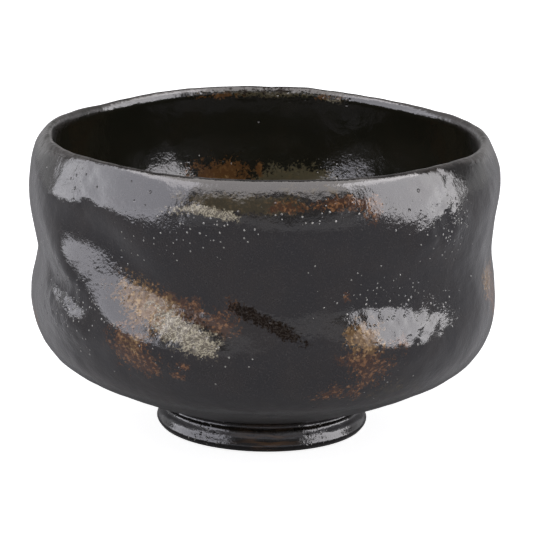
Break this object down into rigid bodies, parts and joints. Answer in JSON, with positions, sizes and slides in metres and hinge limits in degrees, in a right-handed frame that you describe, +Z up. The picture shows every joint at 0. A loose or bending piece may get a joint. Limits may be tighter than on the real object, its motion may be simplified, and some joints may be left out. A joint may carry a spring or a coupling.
{
  "type": "matcha bowl",
  "caption": "Hand-shaped matcha tea bowl with a dented wall, a rolled lip and a low foot ring, under a thick black glaze.",
  "frame": {"origin": "centre of the foot ring, on the surface that the bowl stands on", "axes": "+Z up out of the bowl's mouth; -Y towards the bowl's front, the side with the two rust-brown patches; +X to the right seen from the front"},
  "size_m": [0.1212, 0.1216, 0.0785],
  "materials": {
    "clay": "matt fired clay",
    "foot_clay": "matt fired clay, turned",
    "slip": "matt fired slip",
    "outside_glaze": "thick black glaze, glossy, faintly pitted, with rust-brown patches",
    "inside_glaze": "thick black glaze, glossy",
    "base_glaze": "thin black glaze, glossy"
  },
  "bodies": {
    "root": {"clay_bowl": "clay", "foot_ring": "foot_clay", "slip_seam": "slip", "outside_glaze": "outside_glaze", "inside_glaze": "inside_glaze", "base_glaze": "base_glaze"}
  },
  "joints": []
}
